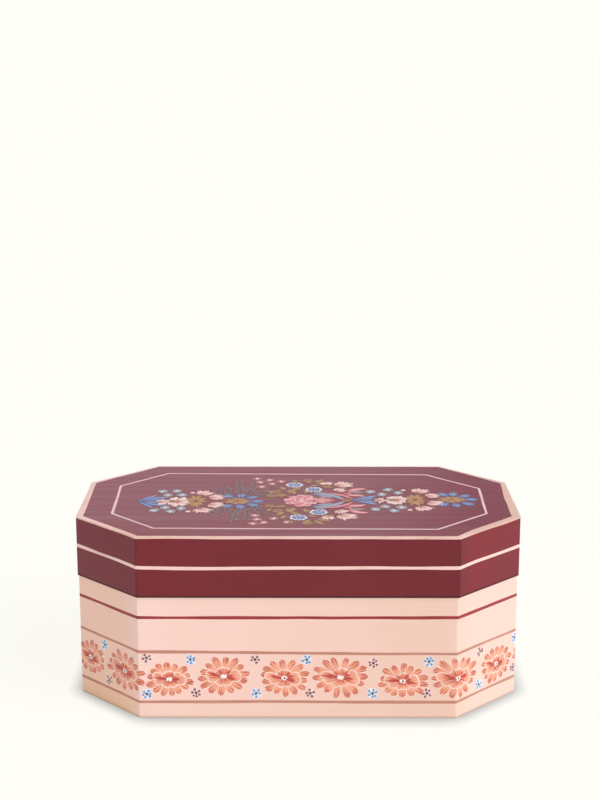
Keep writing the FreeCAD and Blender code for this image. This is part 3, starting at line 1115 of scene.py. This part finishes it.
def paint_band():
    band = Panel("band", "base", "pale_paint", BAND_SEED)
    places = list(blossom_places())
    for run, height, wide, tall, dotted in places:
        paint_blossom(band, (run, height), (wide / 2, tall / 2), dotted)
    runs = [place[0] for place in places]
    perimeter = sum(side_lengths(BASE_INSET))
    runs.append(runs[0] + perimeter)
    for index, (before, after) in enumerate(zip(runs, runs[1:])):
        pair = SMALL_FLOWERS_SEEN[index % len(SMALL_FLOWERS_SEEN)]
        for row, (shift, height) in enumerate(pair):
            centre = ((before + after) / 2 + shift, height + band.luck.uniform(-0.2, 0.2))
            paint_small_flower(band, centre, *SMALL_FLOWER_KINDS[(index + row) % 2])
    corners = list(corner_runs(BASE_INSET))
    band.finish(carry_to_walls, [run - perimeter for run in corners] + corners)


# Sprays on the lid: one at each end and a larger one between, as places in plan from the middle

# Flowers that are rings and blots alone, from the lowest coat. Of a ring: paint, coat, shape, number
# of dabs (None where it is drawn by chance), the shares of the flower's radii that they lie between,
# width, raggedness and first direction. Of a blot: paint, coat, DOT, height and width.
FLOWERS = {
    "ochre_tuft": (
        ("ochre_line", 2, LEAF, 10, 0.04, 1.04, 4.0, 0.1, 0),
        ("ochre", 3, LEAF, 10, 0.08, 1, 3.1, 0.1, 0),
        ("ochre_light", 4, LEAF, 10, 0.2, 0.85, 0.9, 0.09, 4),
    ),
    "blue_flower_heart": (
        ("ochre_line", 6, LEAF, 9, 0.05, 1.06, 3.3, 0.05, 20),
        ("ochre", 7, LEAF, 9, 0.06, 1, 2.5, 0.05, 20),
        ("amber", 8, LEAF, 9, 0.1, 0.94, 1.5, 0.05, 24),
    ),
    "tiny_flower": (
        ("leaf_line", 4, DROP, None, 0.1, 1.0, 2.9, 0.08),
        ("grey_blue", 5, DROP, None, 0.1, 0.96, 2.7, 0.08),
        ("grey_light", 6, STREAK, 8, 0.2, 0.8, 0.7, 0.1),
        ("daisy_white", 7, DROP, 5, 0, 0.36, 0.9),
    ),
    "rosy_bud": (
        ("rosebud", 3, LEAF, 6, 0, 1.2, 2.1, 0.15),
        ("rose_light", 4, DROP, 5, 0, 0.56, 0.9),
        ("cream_light", 5, DOT, 2.2, 1.7),
    ),
    "ochre_bud": (
        ("ochre_line", 3, DROP, 7, 0.1, 1.1, 0.8),
        ("leaf_ochre", 4, DROP, 7, 0.1, 1, 0.66),
        ("ochre_light", 5, STREAK, 6, 0.3, 0.95, 0.2),
        ("stem_brown", 6, DOT, 0.4, 0.4),
    ),
    "berry": (("rose_light", 5, DOT, 3.4, 3.0), ("cream_light", 6, DOT, 2.6, 2.2)),
    "daisy": (
        ("daisy_white", 5, DROP, 11, 0.3, 1, 2.6),
        ("deep_blue", 6, DOT, 7.844, 7.526),
        ("light_blue", 7, DROP, 9, 0.36, 0.68, 1.2),
        ("daisy_white", 8, STREAK, 7, 0.14, 0.5, 0.7),
    ),
    "knot": (("ochre", 8, LEAF, 7, 0.05, 1, 1.7),),
}
# Of each blade in the upper half of a fan, the point that it bends towards and its tip, as
# shares, and its width
ARROW_BLADES = (
    ((0.29, 0.52), (0.6, 1.0), 3.4), ((0.5, 0.64), (1.0, 0.62), 4.4),
    ((0.45, 0.26), (0.92, 0.25), 4.0), ((0.4, 0.0), (0.8, 0.0), 3.2),
)
SWALLOW_BLADES = (
    ((0.45, 0.3), (1.0, 0.95), 4.4), ((0.45, 0.14), (0.96, 0.5), 4.0), ((0.4, 0.0), (0.84, 0.05), 3.6),
)
# Point, length and half height of each fan of blue blades that opens to the right
TUFTS = (((-94.6, -3.9), (17.5, 11.8), ARROW_BLADES), ((28.8, 0.6), (16.0, 9.0), SWALLOW_BLADES))
# Place and radii
CREAM_BLOSSOMS = (
    ((-79.9, -5.6), (3.5, 5.4)), ((-70.8, -4.4), (6.8, 9.4)),
    ((46.7, 0.0), (3.0, 5.2)), ((56.4, 0.4), (6.4, 8.8)),
)
OCHRE_TUFTS = (((-60.2, -3.2), (6.4, 12.5)), ((67.3, 1.4), (6.2, 11.5)))
BLUE_FLOWERS = (((-36.2, -3.0), (15.2, 15.0)), ((88.6, 1.8), (15.4, 15.2)))
BLUE_PETAL_DIRECTIONS = (115, 80, 42, 3, -40, -79, -115)
ROSE = ((1.0, -1.3), (9.3, 11.0))
# Coat, number, start, reach and width of the petals of each ring, from the outside in
ROSE_RINGS = ((6, 9, 0.3, 1.06, 5.4), (9, 7, 0.16, 0.78, 4.8), (12, 5, 0.04, 0.48, 3.5))
KNOT = ((27.5, -0.7), (3.4, 3.4))
TINY_FLOWER_RADII = (3.3, 3.96)
ROSY_BUD_RADII = (2.6, 2.86)
DAISY_RADII = (5.3, 5.3)
DAISIES = ((-3.5, 31.3), (8.2, 21.5), (11.2, -23.8), (0.0, -34.1))
ROSY_BERRIES = ((-63.3, 13.7), (-63.0, -23.8), (61.3, 20.8), (63.3, -18.8))
# In each group, where the stems start, and then the places. A pink blossom has its radius and the
# direction that it faces too, and an ochre bud its radius.
PINK_BLOSSOMS = (
    ((-59.2, -4.0), (-56.3, 13.0, 4.9, 60), (-48.8, 4.6, 4.8, 20),
     (-48.4, -10.9, 4.8, -20), (-55.2, -21.4, 4.8, -60)),
    ((67.5, 3.2), (70.8, 19.2, 4.9, 60), (77.6, 9.8, 4.3, 20),
     (78.3, -5.4, 4.8, -20), (71.2, -15.6, 4.9, -60)),
    ((9.0, 25.0), (25.6, 32.0, 5.8, 35), (23.4, 20.6, 3.7, 45), (15.6, 34.2, 3.6, 95)),
    ((9.0, -28.0), (27.0, -31.9, 5.8, -35), (24.1, -22.2, 3.7, -45), (16.6, -34.2, 3.7, -95)),
)
TINY_FLOWERS = (
    ((-70.0, -2.0), (-81.3, 16.2), (-73.0, 17.1), (-77.5, 8.6), (-69.2, 9.1),
     (-76.7, -16.2), (-67.5, -17.6), (-82.5, -21.8), (-73.0, -23.5)),
    ((55.0, -2.0), (41.7, 17.6), (52.2, 21.8), (48.3, 12.0), (58.0, 15.4),
     (49.7, -12.5), (58.7, -13.7), (43.7, -17.6), (54.2, -20.1)),
)
ROSY_BUDS = (
    ((-14.0, 24.0), (-26.3, 44.5), (-18.8, 41.6), (-24.2, 36.8),
     (-17.0, 33.1), (-11.7, 38.7), (-23.0, 27.2)),
    ((-14.0, -28.0), (-24.7, -30.8), (-23.3, -37.9), (-13.7, -36.2),
     (-25.5, -45.5), (-19.2, -43.8), (-6.3, -42.9)),
)
OCHRE_BUDS = (
    ((-5.0, -2.0), (-13.5, 17.2, 3.0), (-16.8, 8.0, 3.1), (-11.6, 8.4, 2.2), (-17.0, -12.4, 2.9),
     (-12.2, -21.6, 3.1), (-11.0, -12.8, 2.3), (4.4, 41.0, 2.8), (-3.4, 39.6, 2.2), (5.4, -44.5, 2.9),
     (-4.6, -43.0, 2.3)),
)
# Root, the point that the stem bends towards, tip, and how many leaves it has
SPRIGS = (
    ((-33, 9), (-42, 16), (-46, 29), 12), ((-33, 9), (-36, 22), (-37, 37), 15),
    ((-33, 9), (-28, 20), (-27, 33), 12), ((-33, -14), (-43, -19), (-47, -30), 12),
    ((-33, -14), (-37, -26), (-36, -38), 15), ((-33, -14), (-28, -22), (-29, -36), 12),
    ((-40, 7), (-45, 12), (-50, 21), 8), ((-40, -11), (-46, -15), (-51, -22), 8),
    ((-30, 8), (-24, 14), (-19, 19), 8), ((-30, -13), (-24, -19), (-20, -27), 8),
    ((-29, 6), (-23, 9), (-17, 11), 8), ((-29, -11), (-24, -14), (-18, -16), 8),
)
# Root, direction and length of each ochre leaf round the rose
ROSE_LEAVES = (
    (-7, 14, 70, 9), (-3, 12, 100, 8), (-9, 20, 110, 8), (-4, 20, 60, 8), (3, 14, 75, 8), (-7, 9, 165, 8),
    (-7, -17, -70, 9), (-3, -15, -100, 8), (-9, -23, -110, 8), (-4, -23, -60, 8), (3, -17, -75, 8),
    (-7, -12, -165, 8), (6, 35, 110, 8), (10, 33, 30, 9), (9, 36, 60, 9), (6, -38, -110, 9),
    (10, -36, -30, 9), (9, -39, -60, 9), (13, 28, -10, 7), (13, -31, 10, 7), (-7, 27, 100, 7),
    (-8, -30, -100, 7), (6, 28, 40, 6), (5, -29, -40, 6), (-16, 13, 110, 6), (-16, -17, -110, 6),
)
# Each scroll is drawn above the line through the middle of the rose, and mirrored below it:
# root, the point that it bends towards, tip and width
SCROLL_AXIS = -0.7
BLUE_SCROLLS = (
    ((7, 11.5), (17, 16.5), (26, 1.5), 5.6), ((8.5, 8.5), (15, 10), (19, 5.5), 3.2),
    ((8, 13.5), (12, 16.5), (17, 14.5), 2.6),
)
PINK_SCROLLS = (
    ((14, 15.5), (24, 14), (31, 3), 2.6), ((29, 14), (31, 25.5), (39.5, 23.5), 5.6),
    ((26.5, 8.5), (33, 13), (38, 8), 5.0), ((25, 12), (28, 15), (31, 12.5), 2.2),
)
# Paint, coat, share of the scroll's width and what is added to it, of each coat of a scroll
BLUE_COATS = (("scroll_blue", 4, 1, 0), ("grey_light", 5, 0.22, 0))
PINK_COATS = (("rose_deep", 5, 1, 0.8), ("rose", 6, 1, 0), ("rose_light", 7, 0.3, 0))
SCROLL_BUD = (29.4, 16.8)
SCROLL_BUD_LENGTH = 8.6
# Direction and length of each upper flame between the rose and the knot, and the root of all
FLAMES = ((6, 12.0), (26, 10.5), (48, 9.5))
FLAME_ROOT = (8.905, SCROLL_AXIS)


def paint_tuft(lid, point, size, blades):
    """Blue blades that spread from a point, with violet lines between them."""
    (x, y), (length, half_height) = point, size
    for pull, tip, width in blades:
        for side in (1, -1):
            bend = (x + pull[0] * length, y + pull[1] * half_height * side)
            end = (x + tip[0] * length, y + tip[1] * half_height * side)
            within = (bend[0], y + (bend[1] - y) * 0.66), (end[0], y + (end[1] - y) * 0.72)
            lid.stroke("deep_blue", 2, PLUME, point, bend, end, width)
            lid.stroke("light_blue", 3, PLUME, (x + 1, y), bend, end, width * 0.42)
            lid.stroke("violet", 4, RIBBON, (x + 2, y), *within, width * 0.2)


def paint_cream_blossom(lid, centre, radii):
    """A ragged cream blossom with coral veins, and two small leaves beside its heart."""
    half_width = radii[0]
    count = 7 if half_width > 5 else 5
    start = lid.luck.uniform(0, 360)
    ring = partial(lid.ring, centre, radii)
    ring("cream", 6, BLADE, count, 0.08, 0.96, half_width * 0.66, 0.12, start)
    ring("cream_light", 7, LEAF, count + 2, 0.3, 1.06, half_width * 0.42, 0.14)
    ring("cream", 8, LEAF, count, 0.1, 0.56, half_width * 0.32, 0.12, start + 20)
    ring("rose_line", 9, STREAK, count - 1, 0.1, 0.6, half_width * 0.08, 0.12)
    heart = (centre[0] - half_width * 0.12, centre[1])
    lid.ring(heart, radii, "ochre", 10, DROP, 5, 0, 0.2, half_width * 0.18)
    for swing in (145, 180, 215):
        lid.dab("leaf_ochre", 10, LEAF, heart, swing, half_width * 0.8, half_width * 0.26)


def paint_pink_blossom(lid, centre, radius, facing):
    """A half-open blossom of broad ragged petals that face away from its stem."""
    luck = lid.luck
    radii = (radius, radius)
    root = ellipse(centre, radii, facing + 180, 0.8)
    for swing, share in ((-52, 1.2), (52, 1.2), (-28, 1.55), (28, 1.55), (-6, 1.75), (12, 1.65)):
        angle = facing + swing
        reach = radius * share * luck.uniform(0.9, 1.06)
        lid.dab("blush", 6, BLADE, root, angle, reach * 0.92, radius * luck.uniform(0.6, 0.74))
        lid.dab("blush", 6, LEAF, root, angle + luck.uniform(-10, 10), reach * 1.2, radius * 0.4)
    for swing in (-38, -20, -4, 14, 30, 44):
        angle = facing + swing
        start = ellipse(root, radii, angle, 0.8)
        lid.dab("blush_light", 8, LEAF, start, angle, radius * luck.uniform(0.75, 1.1), radius * 0.24)
    for swing in (-30, 0, 30):
        angle = facing + swing + luck.uniform(-7, 7)
        lid.dab("rose_line", 9, STREAK, root, angle, radius * 0.8, radius * 0.07)
    lid.dab("stem_brown", 5, DROP, root, facing + 180, radius * 0.35, radius * 0.35)


def paint_blue_flower(lid, centre, radii):
    """A large flower of pointed blue petals that stand clear of a heart of ochre leaves."""
    for direction in BLUE_PETAL_DIRECTIONS:
        angle = direction + lid.luck.uniform(-4, 4)
        root, point, length = ray(centre, radii, angle, 0.4, lid.luck.uniform(0.92, 1.04))
        lid.dab("deep_blue", 3, BLADE, root, point, length, 6.0)
        for swing, share in ((-13, 1.02), (0, 1.16), (13, 1.02)):
            reach = length * share
            lid.dab("deep_blue", 3, LEAF, root, point + swing, reach, 3.0)
            lid.dab("light_blue", 4, LEAF, root, point + swing, reach * 0.9, 1.2)
        for swing in (-7, 7):
            lid.dab("violet", 5, STREAK, root, point + swing, length * 0.75, 0.6)
        lid.dab("grey_light", 6, DROP, root, point + 180, 1.2, 1.2)
    lid.flower("blue_flower_heart", centre, (radii[0] * 0.56, radii[1] * 0.44))


def paint_sprig(lid, root, pull, tip, leaves):
    """A fine dark stem with small grey-brown leaves on both sides."""
    luck = lid.luck
    lid.stroke("leaf_line", 0, STEM, root, pull, tip, 0.5)
    for number in range(leaves):
        spot, run = on_curve(root, pull, tip, 0.2 + 0.8 * number / (leaves - 1))
        swing = luck.uniform(25, 60) * (1 if number % 2 else -1)
        point = math.degrees(math.atan2(run.y, run.x)) + swing
        length = luck.uniform(3.0, 5.2)
        lid.dab("leaf_line", 1, LEAF, spot, point - 6, length + 0.3, 1.5)
        lid.dab("leaf_grey", 2, LEAF, spot, point, length, luck.uniform(0.9, 1.4))


def paint_leaf(lid, x, y, direction, length):
    """An ochre-green leaf with a dark edge and a light rib."""
    width = length * lid.luck.uniform(0.5, 0.64)
    lid.dab("ochre_line", 2, LEAF, (x, y), direction, length + 0.6, width + 0.8)
    lid.dab("leaf_ochre", 3, LEAF, (x, y), direction, length, width)
    for swing in (-9, 8):
        lid.dab("ochre_light", 4, STREAK, (x, y), direction + swing, length * 0.85, 0.6)


def paint_tiny_flower(lid, centre):
    """A round grey flower with a white heart."""
    lid.flower("tiny_flower", centre, TINY_FLOWER_RADII, petals=lid.luck.choice((6, 7)))


def paint_rosy_bud(lid, centre):
    lid.flower("rosy_bud", centre, ROSY_BUD_RADII)


def paint_ochre_bud(lid, centre, radius):
    lid.flower("ochre_bud", centre, (radius, radius * 1.15), radius)


def paint_on_stems(lid, paint_flower, groups, bow_above, bow_below):
    """Groups of flowers on thin brown stems, which bow to one side by a share of their length."""
    for root, *flowers in groups:
        for x, y, *measures in flowers:
            start, tip = Vector(root), Vector((x, y))
            run = tip - start
            bow = bow_above if y > 0 else bow_below
            pull = (start + tip) / 2 + Vector((-run.y, run.x)) * bow
            lid.stroke("stem_brown", 1, STEM, root, pull, tip, 0.8)
            paint_flower(lid, (x, y), *measures)


def paint_rose(lid, centre, radii):
    """A full rose: three rings of loose petals with light rims and dark roots, over a deep ground."""
    ring = partial(lid.ring, centre, radii)
    ring("rose_deep", 5, LEAF, 13, 0.1, 1.14, 4.4, 0.1)
    for coat, count, inner, outer, width in ROSE_RINGS:
        start = lid.luck.uniform(0, 360)
        ring("rose_light", coat, PETAL, count, inner, outer, width, 0.05, start)
        ring("rose", coat + 1, PETAL, count, inner, outer - 0.09, width * 0.8, 0.06, start)
        ring("rose_line", coat + 2, STREAK, 2 * count, inner, outer * 0.72, 0.5, 0.12)
    ring("blush_light", 15, DROP, 6, 0, 0.2, 1.2)


def paint_scrolls(lid):
    """Blue-grey and pink scrolls that curl from the rose towards the right spray."""
    for side in (1, -1):
        for scrolls, coats in ((BLUE_SCROLLS, BLUE_COATS), (PINK_SCROLLS, PINK_COATS)):
            for *points, width in scrolls:
                line = [(x, SCROLL_AXIS + side * y) for x, y in points]
                for paint, coat, share, more in coats:
                    lid.stroke(paint, coat, RIBBON, *line, width * share + more)
        bud = (SCROLL_BUD[0], SCROLL_AXIS + side * SCROLL_BUD[1])
        lid.dab("leaf_grey", 8, LEAF, bud, 0, SCROLL_BUD_LENGTH, SCROLL_BUD_LENGTH * 0.55)
        lid.dab("grey_blue", 9, LEAF, bud, 4 * side, SCROLL_BUD_LENGTH * 0.85, SCROLL_BUD_LENGTH * 0.3)
        for swing, length in FLAMES:
            lid.dab("rose_deep", 3, LEAF, FLAME_ROOT, side * swing, length + 0.5, 3.2)
            lid.dab("salmon", 4, LEAF, FLAME_ROOT, side * swing, length, 2.6)
            lid.dab("rose_light", 5, STREAK, FLAME_ROOT, side * swing, length * 0.85, 0.6)
    lid.flower("knot", *KNOT)


def paint_sprays():
    lid = Panel("spray", "lid", "maroon_paint", SPRAY_SEED)
    for sprig in SPRIGS:
        paint_sprig(lid, *sprig)
    paint_on_stems(lid, paint_pink_blossom, PINK_BLOSSOMS, 0.12, -0.12)
    paint_on_stems(lid, paint_tiny_flower, TINY_FLOWERS, 0.1, 0.1)
    paint_on_stems(lid, paint_rosy_bud, ROSY_BUDS, 0.15, -0.15)
    for leaf in ROSE_LEAVES:
        paint_leaf(lid, *leaf)
    paint_on_stems(lid, paint_ochre_bud, OCHRE_BUDS, 0.12, -0.12)
    for berry in ROSY_BERRIES:
        lid.flower("berry", berry, (1, 1))
    for tuft in TUFTS:
        paint_tuft(lid, *tuft)
    for tuft in OCHRE_TUFTS:
        lid.flower("ochre_tuft", *tuft)
    for flower in BLUE_FLOWERS:
        paint_blue_flower(lid, *flower)
    for blossom in CREAM_BLOSSOMS:
        paint_cream_blossom(lid, *blossom)
    paint_scrolls(lid)
    paint_rose(lid, *ROSE)
    for daisy in DAISIES:
        lid.flower("daisy", daisy, DAISY_RADII)
    lid.finish(carry_to_lid)


# CAD surfaces


def dress(material, *starts):
    """Puts a material on every node whose name has one of these starts."""
    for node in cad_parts:
        if node.startswith(starts):
            for slot in bpy.data.objects[node].material_slots:
                slot.material = material


def dress_surfaces():
    """Maroon and peach outside, and plain dark maroon where the lid's lifting shows the boards."""
    inside = brushed_paint("inside_paint", 0, (0,), 0, INSIDE_ROUGHNESS)
    top = brushed_paint("lid_top_paint", 0, (), SEAM, LID_ROUGHNESS, LID_DULLING)
    maroon = brushed_paint("maroon_paint", 0, (), SEAM, LID_ROUGHNESS)
    pale = brushed_paint("pale_paint", BASE_INSET, (SEAM,), 0, BASE_ROUGHNESS)
    dress(inside, "base_lip", "base_floor", "lid_side_", "lid_top_board")
    dress(top, "lid_top_skin")
    dress(maroon, "lid_side_skin")
    dress(pale, "base_side_skin", "base_underside_skin", "base_wall")


dress_surfaces()
paint_lines()
paint_band()
paint_sprays()
set_camera()
set_sun()
set_world()
set_floor()
bpy.context.scene.view_settings.view_transform = "Standard"
